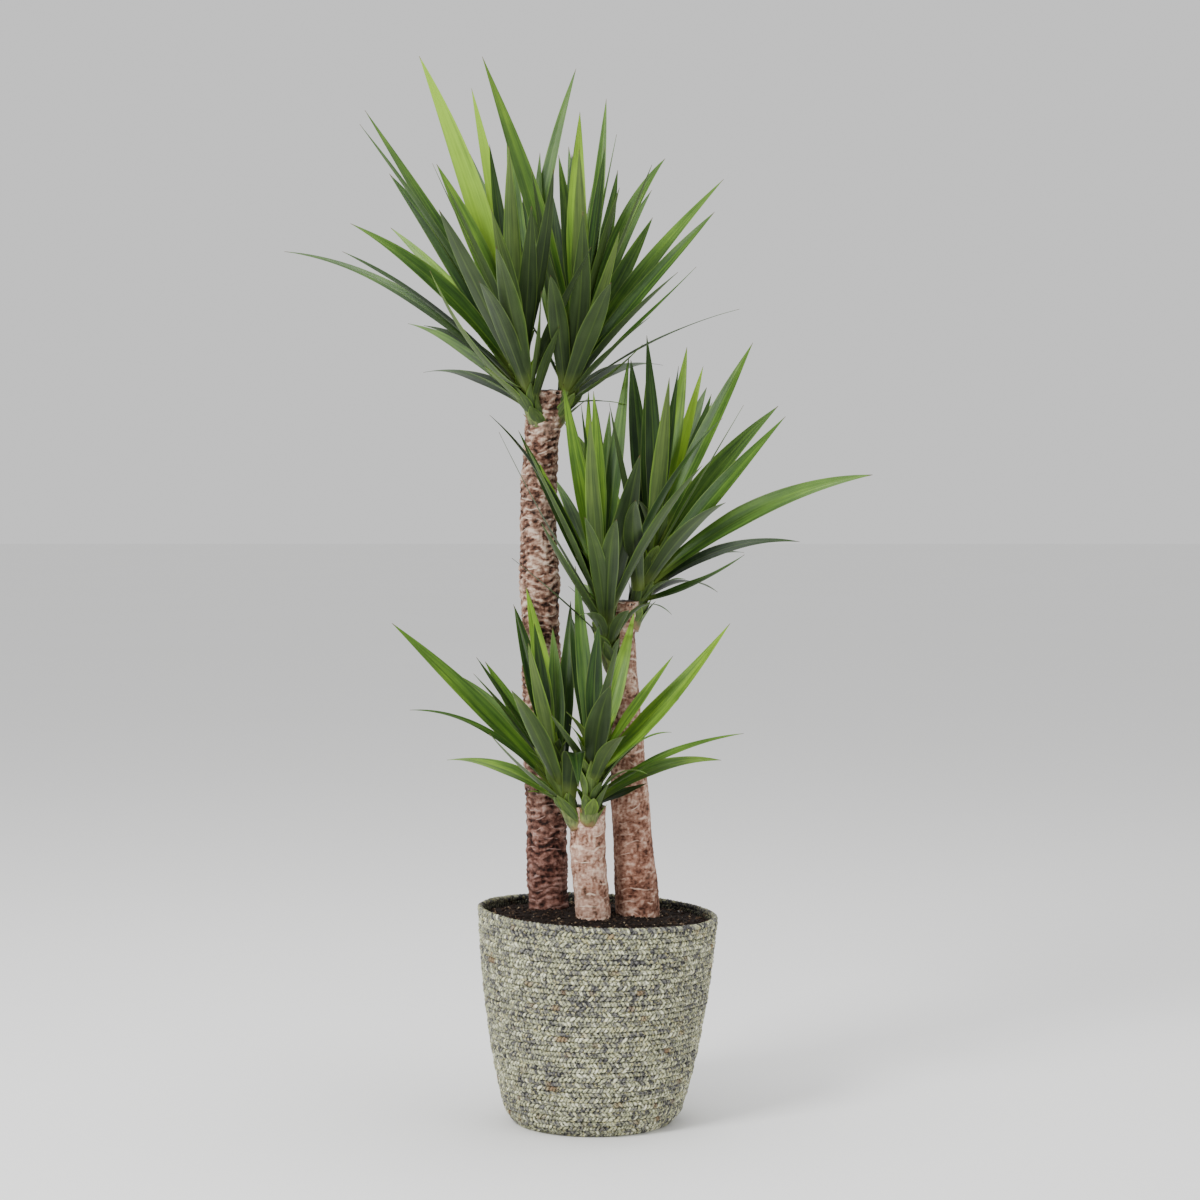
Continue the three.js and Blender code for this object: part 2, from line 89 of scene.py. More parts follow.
# Each shoot: the points up its stem in mm, then its leaves. A leaf is [heading, rise,
# length, width, arch, turn, youth]. Its heading goes in degrees from the right
# round to the back, its rise in degrees above level, and its length straight from the crown
# to its tip. Arch is how high its middle bows above that line, turn is its twist in degrees,
# and youth goes from 0 for an old dark leaf to 1 for a young yellow-green one; it
# also carries painted light, raised for leaves lit from behind or standing up into the light
# and lowered for low front leaves in painted shade. The fan is the headings of the leaves
# behind and the heart is those of the young leaves round the crown, both from the steepest
# to the most level.
SHOOTS = [
    {
        "name": "tall_left",
        "stem": [[-55, 40, 770], [-75, 25, 800], [-85, 15, 875]],
        "outer": [
            [170, 20, 285, 22, 34, -30, 0.3], [200, 32, 225, 29, 18, -60, 0.35],
            [175, 56, 305, 25, 6, -40, 0.35], [150, 48, 255, 28, 6, -50, 0.2],
            [150, 68, 345, 27, 12, -45, 0.95], [250, 29, 250, 30, 10, -10, 0.25],
            [230, 25, 155, 20, -26, -20, 0.6], [267, 17, 270, 25, 16, 0, 0.35],
        ],
        "inner": [
            [192, 25, 215, 21, 14, -20, 0.1], [190, 53, 290, 23, 8, -30, 0.3],
            [185, 65, 210, 25, 4, -60, 0.5],
            [225, 57, 190, 22, 4, -20, 0.35], [125, 72, 300, 21, 4, 0, 0.95],
            [110, 52, 280, 22, 10, 0, 0.2],
            [260, 44, 185, 22, 6, 0, 0.55], [288, 25, 105, 10, -14, 30, 0.5], [190, -30, 75, 9, 6, 0, 0.5],
            [225, -35, 60, 12, 2, 0, 0.7], [305, 5, 85, 17, 2, 10, 0.3], [45, 73, 320, 17, 20, 30, 0.4],
            [97, 64, 270, 22, 6, 0, 0.4], [262, 11, 235, 22, 20, 0, 0.2], [150, 7, 125, 18, 16, -20, 0.2],
            [280, 50, 175, 22, 4, 0, 0.2], [315, 38, 150, 22, 2, 10, 0.15],
        ],
        "fan": ([85, 115, 140, 100, 125, 120], 235, 22),
        "heart": ([180, 60, 265, 130, 215, 290, 100], 215),
    },
    {
        "name": "tall_right",
        "stem": [[-45, 45, 780], [-25, 45, 805], [-15, 45, 885]],
        "outer": [
            [200, 69, 320, 32, 4, -65, 0.5], [305, 63, 170, 34, 4, 40, 0.45],
            [20, 62, 220, 21, 26, 30, 0.35], [5, 46, 235, 25, 8, 45, 0.45],
            [350, 40, 200, 25, 4, 50, 0.3], [310, 18, 175, 24, 6, 20, 0.3],
            [335, 5, 195, 9, 12, 20, 0.2], [278, 8, 250, 25, 16, 0, 0.25],
        ],
        "inner": [
            [65, 75, 275, 16, 8, 20, 0.4], [90, 78, 255, 24, 2, 0, 0.8], [95, 54, 275, 20, 8, 0, 0.25],
            [335, 78, 220, 18, 2, 30, 0.45], [105, 52, 220, 24, 6, 0, 0.1], [85, 45, 270, 22, 10, 0, 0.1],
            [50, 52, 210, 19, 10, 30, 0.3], [335, 62, 170, 20, 4, 35, 0.5], [35, 52, 165, 22, 4, 35, 0.35],
            [337, 25, 155, 14, -2, 30, 0.25], [295, 44, 145, 18, 2, 10, 0.7], [305, 3, 135, 13, 4, 10, 0.3],
            [317, -12, 98, 12, -6, 10, 0.5], [330, -55, 105, 7, 4, 0, 0.5], [262, 12, 215, 22, 18, 0, 0.2],
            [272, 45, 170, 24, 2, 0, 0.3], [245, 45, 175, 22, 4, -10, 0.15], [190, 30, 90, 16, 2, -20, 0.3],
        ],
        "fan": ([95, 60, 105, 70, 80, 65], 235, 22),
        "heart": ([0, 120, 270, 60, 320, 245, 85], 205),
    },
    {
        "name": "medium_left",
        "stem": [[25, 5, 505], [10, -10, 535], [10, -15, 625]],
        "outer": [
            [192, 52, 205, 18, 24, -30, 0.05], [235, 22, 125, 20, -6, -20, 0.3],
            [145, 75, 205, 21, -6, -35, 0.6], [55, 77, 235, 19, 4, 15, 0.4],
            [333, 47, 215, 26, 28, 40, 0.1], [288, 42, 175, 29, 14, 0, 0.1],
            [302, 28, 225, 17, 16, 10, 0.35], [265, 14, 215, 19, 14, 0, 0.35],
        ],
        "inner": [
            [213, 47, 195, 15, -8, -20, 0.15], [168, 57, 132, 15, 2, -30, 0.65],
            [215, 3, 120, 13, 2, -20, 0.1],
            [110, 55, 160, 15, 4, 0, 0.3], [105, 73, 200, 17, -4, 0, 0.65],
            [125, 85, 190, 17, 0, -30, 0.65],
            [258, -25, 130, 16, 14, 0, 0.35], [312, -26, 125, 10, 26, 0, 0.3],
            [290, -30, 100, 15, 8, 0, 0.3],
            [274, 13, 220, 22, 20, 0, 0.2],
        ],
        "fan": ([95, 108, 100], 210, 20),
        "heart": ([200, 80, 260, 165, 225], 175),
    },
    {
        "name": "medium_right",
        "stem": [[40, 15, 550], [55, 25, 585], [70, 30, 660]],
        "outer": [
            [115, 84, 220, 19, -4, -20, 0.15], [10, 62, 238, 25, 8, 45, 0.45],
            [20, 43, 205, 28, 8, 50, 0.4], [355, 41, 193, 27, 4, 50, 0.35],
            [348, 14, 252, 30, 24, 50, 0.45], [15, -5, 172, 17, 22, 35, 0.1],
            [264, 8, 245, 22, 18, 0, 0.2], [291, 9, 200, 22, 16, 0, 0.25],
        ],
        "inner": [
            [88, 50, 185, 16, 6, 0, 0.4], [52, 74, 215, 20, 4, 25, 0.7], [50, 65, 205, 16, 4, 20, 0.95],
            [62, 45, 208, 14, 8, 20, 0.6], [345, -15, 106, 17, -8, 30, 0.3],
            [230, 60, 162, 16, -8, -10, 0.1],
            [300, -40, 84, 8, 10, 0, 0.4], [58, -28, 160, 20, 18, 0, 0.2],
        ],
        "fan": ([105, 65, 125, 75, 90, 60], 220, 22),
        "heart": ([0, 100, 280, 50, 320], 185),
    },
    {
        "name": "short_left",
        "stem": [[-15, -30, 335], [-35, -35, 360], [-45, -40, 420]],
        "outer": [
            [177, 38, 225, 26, 8, -45, 0.45], [147, 46, 130, 20, 4, -30, 0.4],
            [193, 16, 165, 12, 24, -30, 0.35], [232, 13, 110, 22, -6, -20, 0.45],
            [115, 68, 190, 22, 2, -10, 0.75], [79, 57, 190, 19, 2, 0, 0.2],
            [284, -14, 128, 26, 48, 0, 0.05], [255, 26, 172, 22, 10, 0, 0.45],
        ],
        "inner": [
            [190, 44, 121, 15, 4, -30, 0.35], [212, 73, 168, 14, 4, -20, 0.1],
            [127, 79, 132, 16, 2, -20, 0.8],
            [225, -50, 58, 9, 6, 0, 0.6],
        ],
        "fan": ([122, 140, 135], 175, 20),
        "heart": ([180, 90, 250, 210], 140),
    },
    {
        "name": "short_right",
        "stem": [[-5, -35, 340], [0, -50, 365], [0, -60, 425]],
        "outer": [
            [112, 75, 203, 18, -2, -30, 0.4], [42, 67, 158, 21, -2, 30, 0.75],
            [356, 42, 202, 28, -6, 50, 0.7], [20, 26, 113, 20, 6, 30, 0.45],
            [357, 5, 166, 12, 10, 30, 0.5], [235, 27, 88, 19, 4, -20, 0.5],
            [278, 29, 156, 28, 8, 0, 0.15], [283, 9, 156, 20, 12, 0, 0.4],
        ],
        "inner": [
            [327, 11, 103, 9, 18, 20, 0.6], [318, -18, 85, 9, 16, 10, 0.4], [34, -32, 85, 15, 0, 20, 0.1],
        ],
        "fan": ([110, 91, 25], 160, 19),
        "heart": ([70, 300, 345], 135),
    },
]


# ---- Material helpers ----------------------------------------------------------------

def material_tree(name):
    material = bpy.data.materials.new(name)
    material.use_nodes = True
    return material, material.node_tree


def node(tree, kind, inputs=None, **settings):
    made = tree.nodes.new("ShaderNode" + kind)
    for key, value in settings.items():
        setattr(made, key, value)
    for key, value in (inputs or {}).items():
        if isinstance(value, bpy.types.NodeSocket):
            tree.links.new(value, made.inputs[key])
        else:
            made.inputs[key].default_value = value
    return made


def attribute(tree, name):
    return node(tree, "Attribute", attribute_name=name).outputs["Fac"]


def maths(tree, operation, first, second=0.0, clamp=False):
    made = node(tree, "Math", {0: first, 1: second}, operation=operation, use_clamp=clamp)
    return made.outputs[0]


def mapped(tree, value, low, high, to_low=0.0, to_high=1.0):
    inputs = {"Value": value, "From Min": low, "From Max": high, "To Min": to_low, "To Max": to_high}
    return node(tree, "MapRange", inputs, clamp=True).outputs["Result"]


def noise_value(tree, vector, scale, detail=3.0, roughness=0.5):
    inputs = {"Vector": vector, "Scale": scale, "Detail": detail, "Roughness": roughness}
    return node(tree, "TexNoise", inputs).outputs["Fac"]


def mixed(tree, factor, first, second, blend="MIX"):
    made = node(tree, "Mix", data_type="RGBA", blend_type=blend)
    for socket, value in ((made.inputs[0], factor), (made.inputs[6], first), (made.inputs[7], second)):
        if isinstance(value, bpy.types.NodeSocket):
            tree.links.new(value, socket)
        elif isinstance(value, float):
            socket.default_value = value
        else:
            socket.default_value = (*value, 1.0)
    return made.outputs[2]


def ramp(tree, factor, *stops):
    made = node(tree, "ValToRGB", {"Fac": factor})
    elements = made.color_ramp.elements
    while len(elements) < len(stops):
        elements.new(0.5)
    for element, (position, colour) in zip(elements, stops):
        element.position = position
        element.color = (*colour, 1.0)
    return made.outputs["Color"]


def combined(tree, x, y, z):
    return node(tree, "CombineXYZ", {"X": x, "Y": y, "Z": z}).outputs["Vector"]


def stretched(tree, place, level, upright):
    """A place scaled by one factor across and another up."""
    return node(tree, "Mapping", {"Vector": place, "Scale": (level, level, upright)}).outputs[0]


def object_place(tree):
    return node(tree, "TexCoord").outputs["Object"]


def finish_shader(tree, colour, roughness, height, strength, distance, specular=0.5):
    shader = tree.nodes["Principled BSDF"]
    tree.links.new(colour, shader.inputs["Base Color"])
    if isinstance(roughness, bpy.types.NodeSocket):
        tree.links.new(roughness, shader.inputs["Roughness"])
    else:
        shader.inputs["Roughness"].default_value = roughness
    shader.inputs["Specular IOR Level"].default_value = specular
    bump = node(tree, "Bump", {"Height": height, "Strength": strength, "Distance": distance})
    tree.links.new(bump.outputs["Normal"], shader.inputs["Normal"])
    return shader


# ---- Materials -----------------------------------------------------------------------

def leaf_material():
    """A waxy strap leaf: fine veins along it, pale margins and foot, a greyer underside, and a painted
    highlight down the midrib and along the margins.
    """
    material, tree = material_tree("yucca_leaf")
    along, across = attribute(tree, "along"), attribute(tree, "across")
    under, youth = attribute(tree, "under"), attribute(tree, "youth")
    seed, dry = attribute(tree, "seed"), attribute(tree, "dry")
    shift = maths(tree, "MULTIPLY", seed, 37.0)
    place = object_place(tree)
    patches = noise_value(tree, place, 22.0, 3.0)
    veins = noise_value(tree, combined(tree, maths(tree, "MULTIPLY", across, 9.0),
                                       maths(tree, "MULTIPLY", along, 2.2), shift), 2.6, 4.0, 0.65)
    bands = noise_value(tree, combined(tree, maths(tree, "MULTIPLY", across, 2.2),
                                       maths(tree, "MULTIPLY", along, 1.6), shift), 1.7, 2.0)
    # youth: the leaf's age colour plus painted light, brighter for backlit and upright leaves and darker
    # for low front leaves in painted shade
    shade = maths(tree, "ADD", youth, mapped(tree, patches, 0.3, 0.7, -0.10, 0.10))
    shade = maths(tree, "ADD", shade, mapped(tree, veins, 0.25, 0.75, -0.13, 0.13))
    shade = maths(tree, "ADD", shade, mapped(tree, bands, 0.3, 0.7, -0.16, 0.16))
    shade = maths(tree, "ADD", shade, mapped(tree, along, 0.1, 0.9, -0.12, 0.10), clamp=True)
    top = ramp(tree, shade, (0.0, (0.008, 0.022, 0.005)), (0.3, (0.028, 0.070, 0.010)),
               (0.6, (0.078, 0.165, 0.018)), (1.0, (0.24, 0.42, 0.030)))
    below = ramp(tree, shade, (0.0, (0.020, 0.036, 0.012)), (0.5, (0.052, 0.085, 0.025)),
                 (1.0, (0.14, 0.21, 0.045)))
    colour = mixed(tree, under, top, below)
    foot = mapped(tree, along, 0.02, 0.16, 0.8, 0.0)
    colour = mixed(tree, foot, colour, (0.16, 0.22, 0.040))
    edge = maths(tree, "ABSOLUTE", across)
    # painted highlight down the midrib fold
    midrib_highlight = mapped(tree, edge, 0.0, 0.10, 0.28, 0.0)
    colour = mixed(tree, midrib_highlight, colour, (0.15, 0.25, 0.035))
    # the margin's own pale colour plus a painted highlight on the edge
    pale_margin_and_highlight = mapped(tree, edge, 0.88, 1.0, 0.0, 0.5)
    colour = mixed(tree, pale_margin_and_highlight, colour, (0.20, 0.29, 0.055))
    tip = mapped(tree, along, 0.965, 0.995, 0.0, 0.9)
    colour = mixed(tree, tip, colour, (0.10, 0.055, 0.025))
    flecks = noise_value(tree, place, 160.0, 4.0, 0.7)
    dead = ramp(tree, flecks, (0.3, (0.09, 0.045, 0.022)), (0.55, (0.24, 0.125, 0.055)),
                (0.75, (0.38, 0.25, 0.13)))
    colour = mixed(tree, dry, colour, dead)
    duller = maths(tree, "MULTIPLY", under, 0.14)
    rough = maths(tree, "ADD", mapped(tree, veins, 0.2, 0.8, 0.34, 0.46), duller)
    finish_shader(tree, colour, rough, veins, 0.25, 0.0005, 0.22)
    return material


def stem_material():
    """A young stem: yellow-green, with a paler edge where each leaf base ends; the colour follows the
    relief, partly its own and partly painted shade in the hollows and painted light on the raised edges.
    """
    material, tree = material_tree("yucca_stem")
    relief, dry = attribute(tree, "relief"), attribute(tree, "dry")
    place = object_place(tree)
    fibres = noise_value(tree, stretched(tree, place, 420.0, 60.0), 1.0)
    # colour from relief: painted shade in the hollows, painted light on the raised edges
    shade = maths(tree, "ADD", relief, mapped(tree, fibres, 0.3, 0.7, -0.25, 0.25), clamp=True)
    colour = ramp(tree, shade, (0.0, (0.040, 0.042, 0.012)), (0.35, (0.10, 0.135, 0.028)),
                  (1.0, (0.23, 0.28, 0.065)))
    colour = mixed(tree, dry, colour, (0.24, 0.13, 0.055))
    finish_shader(tree, colour, 0.55, fibres, 0.5, 0.0008)
    return material


def bark_material(name, crevice, plain, pale, ash, foot):
    """Corky bark: dark in its cracks and pale on its flakes, with broken rings of leaf scars; the colour
    follows the relief, partly the bark's own tones and partly painted shade in the cracks and painted light
    on the flakes.
    """
    material, tree = material_tree(name)
    relief = attribute(tree, "relief")
    place = object_place(tree)
    grain = noise_value(tree, stretched(tree, place, 150.0, 480.0), 1.0, 5.0, 0.7)
    blotch = noise_value(tree, stretched(tree, place, 30.0, 48.0), 1.0, 4.0, 0.65)
    pores = noise_value(tree, place, 380.0, 4.0, 0.7)
    shade = maths(tree, "ADD", relief, mapped(tree, grain, 0.3, 0.7, -0.15, 0.15))
    shade = maths(tree, "ADD", shade, mapped(tree, pores, 0.3, 0.7, -0.20, 0.20), clamp=True)
    # the ramp follows the relief: painted shade in the cracks, painted light on the flakes
    colour = ramp(tree, shade, (0.10, crevice), (0.42, plain), (0.70, pale), (1.0, ash))
    stain = mapped(tree, blotch, 0.40, 0.66, 0.0, 0.85)
    colour = mixed(tree, stain, colour, (0.46, 0.33, 0.28), "MULTIPLY")
    bloom = mapped(tree, blotch, 0.32, 0.48, 0.45, 0.0)
    colour = mixed(tree, bloom, colour, pale)
    height = node(tree, "SeparateXYZ", {"Vector": place}).outputs["Z"]
    drift = noise_value(tree, place, 26.0, 2.0)
    turns = maths(tree, "ADD", maths(tree, "MULTIPLY", height, 78.0), maths(tree, "MULTIPLY", drift, 2.6))
    near = maths(tree, "ABSOLUTE", maths(tree, "SUBTRACT", maths(tree, "FRACT", turns), 0.5))
    broken = mapped(tree, noise_value(tree, place, 90.0, 2.0), 0.48, 0.62)
    ring = maths(tree, "MULTIPLY", mapped(tree, near, 0.02, 0.09, 0.8, 0.0), broken)
    colour = mixed(tree, ring, colour, ash)
    # darker towards the bottom of the cane
    darker_below = mapped(tree, height, 0.30, 0.50, 1.0, 0.0)
    colour = mixed(tree, darker_below, colour, mixed(tree, 1.0, colour, foot, "MULTIPLY"))
    bumps = maths(tree, "ADD", maths(tree, "MULTIPLY", grain, 0.7), maths(tree, "MULTIPLY", pores, 0.3))
    finish_shader(tree, colour, 0.88, bumps, 0.8, 0.0016, 0.25)
    return material


def cut_material():
    """The sawn top of a cane, sealed with dark wax that has dulled."""
    material, tree = material_tree("sealed_cut")
    place = object_place(tree)
    grain = noise_value(tree, place, 240.0, 5.0, 0.65)
    colour = ramp(tree, grain, (0.3, (0.010, 0.008, 0.007)), (0.6, (0.045, 0.030, 0.022)),
                  (0.8, (0.11, 0.075, 0.05)))
    finish_shader(tree, colour, mapped(tree, grain, 0.3, 0.7, 0.45, 0.8), grain, 0.7, 0.0012, 0.4)
    return material


def rope_material(name, pale_share, gloom):
    """Seagrass strands: every strand turn has its own grey, straw or greenish colour, with painted shade
    between the strand turns, in small gaps and on the rope's inward side.
    """
    material, tree = material_tree(name)
    lobe, depth, row = attribute(tree, "lobe"), attribute(tree, "depth"), attribute(tree, "row")
    run, side = attribute(tree, "run"), attribute(tree, "side")
    place = object_place(tree)
    strand = combined(tree, maths(tree, "MULTIPLY", run, 1.3), maths(tree, "MULTIPLY", side, 9.0),
                      maths(tree, "MULTIPLY", lobe, 53.0))
    fibre = noise_value(tree, strand, 1.0, 4.0, 0.7)
    clouds = noise_value(tree, stretched(tree, place, 14.0, 55.0), 1.0, 3.0)
    specks = noise_value(tree, place, 330.0, 2.0)
    tone = maths(tree, "ADD", lobe, mapped(tree, clouds, 0.3, 0.7, -0.12, 0.12))
    tone = maths(tree, "ADD", tone, mapped(tree, specks, 0.3, 0.7, -0.30, 0.30))
    tone = maths(tree, "ADD", tone, mapped(tree, fibre, 0.25, 0.75, -0.30, 0.30))
    tone = maths(tree, "ADD", tone, pale_share, clamp=True)
    colour = ramp(tree, tone, (0.0, (0.075, 0.073, 0.075)), (0.25, (0.20, 0.195, 0.195)),
                  (0.48, (0.35, 0.35, 0.27)), (0.72, (0.56, 0.58, 0.33)), (1.0, (0.96, 0.95, 0.74)))
    straw = mapped(tree, noise_value(tree, place, 270.0, 1.0), 0.60, 0.66, 0.0, 0.7)
    colour = mixed(tree, straw, colour, (0.78, 0.72, 0.34))
    far = maths(tree, "MULTIPLY", run, 0.035)
    streak = noise_value(tree, combined(tree, far, maths(tree, "MULTIPLY", row, 3.7), 4.0), 1.0, 1.0)
    colour = mixed(tree, mapped(tree, streak, 0.66, 0.74, 0.0, 0.75), colour, (0.33, 0.20, 0.09))
    # painted shadow in small gaps between the strands
    gap_shade_noise = noise_value(tree, stretched(tree, place, 330.0, 460.0), 1.0, 2.0)
    gap_shade = mapped(tree, gap_shade_noise, 0.36, 0.47, 0.22, 1.0)
    shadow = maths(tree, "MULTIPLY", mapped(tree, depth, 0.15, 0.75, gloom, 1.0), gap_shade)
    colour = mixed(tree, 1.0, colour, combined(tree, shadow, shadow, shadow), "MULTIPLY")
    finish_shader(tree, colour, 0.82, fibre, 0.9, 0.0012, 0.3)
    return material


def soil_material():
    """Damp peat: nearly black, with brown crumbs and pale specks."""
    material, tree = material_tree("peat")
    place = object_place(tree)
    crumb = attribute(tree, "crumb")
    fine = noise_value(tree, place, 480.0, 5.0, 0.7)
    tone = maths(tree, "ADD", crumb, mapped(tree, fine, 0.3, 0.7, -0.15, 0.15), clamp=True)
    colour = ramp(tree, tone, (0.0, (0.006, 0.004, 0.003)), (0.5, (0.020, 0.012, 0.009)),
                  (0.8, (0.060, 0.036, 0.024)), (0.93, (0.14, 0.09, 0.055)), (1.0, (0.38, 0.30, 0.20)))
    finish_shader(tree, colour, 0.95, fine, 1.0, 0.002, 0.2)
    return material


def floor_material():
    material, tree = material_tree("studio_floor")
    faint = noise_value(tree, object_place(tree), 0.8)
    colour = mixed(tree, faint, (0.90, 0.90, 0.89), (0.92, 0.92, 0.92))
    finish_shader(tree, colour, 0.9, faint, 0.0, 0.001, 0.1)
    return material


# ---- Mesh helpers --------------------------------------------------------------------

class Surface:
    """The points, faces and per-point values of a piece while it is made."""

    def __init__(self, *labels):
        self.points = []
        self.faces = []
        self.creases = set()
        self.values = {label: [] for label in labels}

    def add(self, place, **values):
        self.points.append(place)
        for label, numbers in self.values.items():
            numbers.append(values.get(label, 0.0))
        return len(self.points) - 1

    def bridge(self, low, high):
        """Quads between two rings of point numbers with the same length."""
        for i, start in enumerate(low):
            after = (i + 1) % len(low)
            self.faces.append((start, low[after], high[after], high[i]))


def make_piece(name, points, faces, values, material, replaces=(), creases=()):
    mesh = bpy.data.meshes.new(name)
    mesh.from_pydata(points, [], faces)
    for label, numbers in values.items():
        mesh.attributes.new(label, "FLOAT", "POINT").data.foreach_set("value", numbers)
    mesh.polygons.foreach_set("use_smooth", [True] * len(mesh.polygons))
    if creases:
        for edge in mesh.edges:
            if edge.vertices[0] in creases and edge.vertices[1] in creases:
                edge.use_edge_sharp = True
    mesh.materials.append(material)
    mesh.validate()
    piece = bpy.data.objects.new(name, mesh)
    bpy.context.scene.collection.objects.link(piece)
    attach(piece, "root")
    if replaces:
        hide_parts(*replaces)
    return piece


def make_from(surface, name, material, replaces=()):
    points = [tuple(point) for point in surface.points]
    return make_piece(name, points, surface.faces, surface.values, material, replaces, surface.creases)


def lerp(low, high, share):
    return low + (high - low) * share


# ---- Leaves --------------------------------------------------------------------------

def bezier(points, t):
    start, middle, end = points
    return start * (1 - t) ** 2 + middle * (2 * t * (1 - t)) + end * t ** 2


def bezier_way(points, t):
    start, middle, end = points
    return ((middle - start) * (1 - t) + (end - middle) * t).normalized()


def spread_rows(headings, length, width, rises, arch):
    """The leaves of a fan or a heart, evenly from the steepest to the most level."""
    rows = []
    for i, heading in enumerate(headings):
        rise = lerp(*rises, i / (len(headings) - 1))
        turn = SIDE_TURN * math.cos(math.radians(heading))
        youth = 0.1 + 0.13 * (i * 2 % 5)
        rows.append([heading, rise, length, width, arch, turn, youth])
    return rows


def reach_of(row):
    heading, rise, length = math.radians(row[0]), math.radians(row[1]), row[2]
    out = length * math.cos(rise)
    return Vector((out * math.cos(heading), out * math.sin(heading), length * math.sin(rise)))


def stem_radius(t):
    return lerp(STEM_FOOT_RADIUS, STEM_TOP_RADIUS, t)


def leaf_curves(shoot):
    """Each leaf's curve. The more a leaf leans from its stem, the lower it joins it."""
    stem = [Vector(point) for point in shoot["stem"]]
    crown, axis = stem[2], bezier_way(stem, 1)
    fan = spread_rows(*shoot["fan"], FAN_RISES, FAN_ARCH)
    heart = spread_rows(*shoot["heart"], HEART_WIDTH, HEART_RISES, HEART_ARCH)
    rows = shoot["outer"] + shoot["inner"] + fan + heart
    leaves = []
    for number, row in enumerate(rows):
        reach = reach_of(row)
        leaves.append({"row": row, "reach": reach, "lean": reach.angle(axis), "number": number})
    by_lean = sorted(leaves, key=lambda leaf: leaf["lean"])
    for rank, leaf in enumerate(by_lean):
        t = lerp(1, LOWEST_LEAF, rank / (len(by_lean) - 1))
        reach = leaf["reach"]
        heading = Vector((reach.x, reach.y, 0)).normalized()
        start = bezier(stem, t) + heading * stem_radius(t) * 0.5
        tip = crown + reach
        middle = (start + tip) / 2 + Vector((0, 0, leaf["row"][4] * 2))
        leaf["curve"] = (start, middle, tip)
        leaf["level"] = Vector((-heading.y, heading.x, 0))
        leaf["width"] = leaf["row"][3]
        leaf["turn"] = math.radians(leaf["row"][5])
        leaf["youth"] = leaf["row"][6]
    return leaves


def leaf_width_share(t):
    foot = LEAF_FOOT + (1 - LEAF_FOOT) * min(1, t / LEAF_WIDEST)
    tip = 1 if t < LEAF_WIDEST else 1 - ((t - LEAF_WIDEST) / (1 - LEAF_WIDEST)) ** LEAF_TAPER
    return foot * max(tip, 0)


def turned(vector, axis, angle):
    """A vector square to an axis, turned about it."""
    return vector * math.cos(angle) + axis.cross(vector) * math.sin(angle)


def add_leaf(surface, leaf, dice, rows=LEAF_ROWS, dry=0.0):
    """One channelled blade with two sides, a little twist and wave, and sharp margins."""
    seed = dice.random()
    twist = dice.uniform(-0.30, 0.30)
    ripple = dice.uniform(0.5, 1.6)
    phase = dice.uniform(0, 6.28)
    channel = LEAF_CHANNEL * dice.uniform(0.8, 1.5)
    sway = dice.uniform(-0.02, 0.02) * (leaf["curve"][2] - leaf["curve"][0]).length
    across = [i / LEAF_QUADS * 2 - 1 for i in range(LEAF_QUADS + 1)]
    ring_before = None
    for i in range(rows + 1):
        t = min(i / rows, 0.996)
        centre = bezier(leaf["curve"], t)
        way = bezier_way(leaf["curve"], t)
        level = turned(leaf["level"], way, leaf["turn"] + twist * t * t)
        upper = way.cross(level).normalized()
        centre = centre + level * sway * math.sin(t * math.pi)
        half = leaf["width"] * max(leaf_width_share(t), 0.02) / 2
        lift = half * 2 * channel * (1 - 0.75 * t)
        wave = ripple * math.sin(t * 9 + phase) * t * (1 - t) * 2
        thick = 0.55 * (1 - 0.6 * t)
        ring = []
        for under, order in ((0.0, across), (1.0, across[-2:0:-1])):
            for u in order:
                rise = lift * abs(u) ** 1.3 + wave * u * u * (1 if u > 0 else -0.6)
                body = thick * (1 - abs(u) ** 3)
                place = centre + level * half * u + upper * (rise + (body if under == 0 else -body))
                point = surface.add(place * MM, along=t, across=u, under=under, youth=leaf["youth"],
                                    seed=seed, dry=dry)
                if abs(u) == 1:
                    surface.creases.add(point)
                ring.append(point)
        if ring_before:
            surface.bridge(ring_before, ring)
        else:
            surface.faces.append(tuple(reversed(ring)))
        ring_before = ring
    surface.faces.append(tuple(ring_before))


LEAF_LABELS = ("along", "across", "under", "youth", "seed", "dry")


def sheath_leaves(shoot, dice):
    """The short leaf bases that clasp a stem below its leaves, dry at the very bottom."""
    stem = [Vector(point) for point in shoot["stem"]]
    sheaths = []
    for i in range(SHEATHS):
        t = lerp(0.0, 0.92, i / (SHEATHS - 1))
        dead = i in DEAD_SHEATHS
        angle = i * SHEATH_TURN
        heading = Vector((math.cos(angle), math.sin(angle), 0))
        way = bezier_way(stem, t)
        start = bezier(stem, t) + heading * (stem_radius(t) * 0.86)
        length = dice.uniform(12, 18) if dead else dice.uniform(26, 48 + 26 * t)
        tip = start + way * length * 0.88 + heading * length * dice.uniform(0.15, 0.25 + 0.5 * t)
        middle = start + way * length * 0.5 + heading * length * 0.05
        sheaths.append({
            "curve": (start, middle, tip), "level": Vector((-heading.y, heading.x, 0)),
            "width": 9 if dead else dice.uniform(13, 19), "turn": 0.0, "youth": dice.uniform(0.4, 0.8),
            "dry": 0.75 if dead else 0.0,
        })
    return sheaths


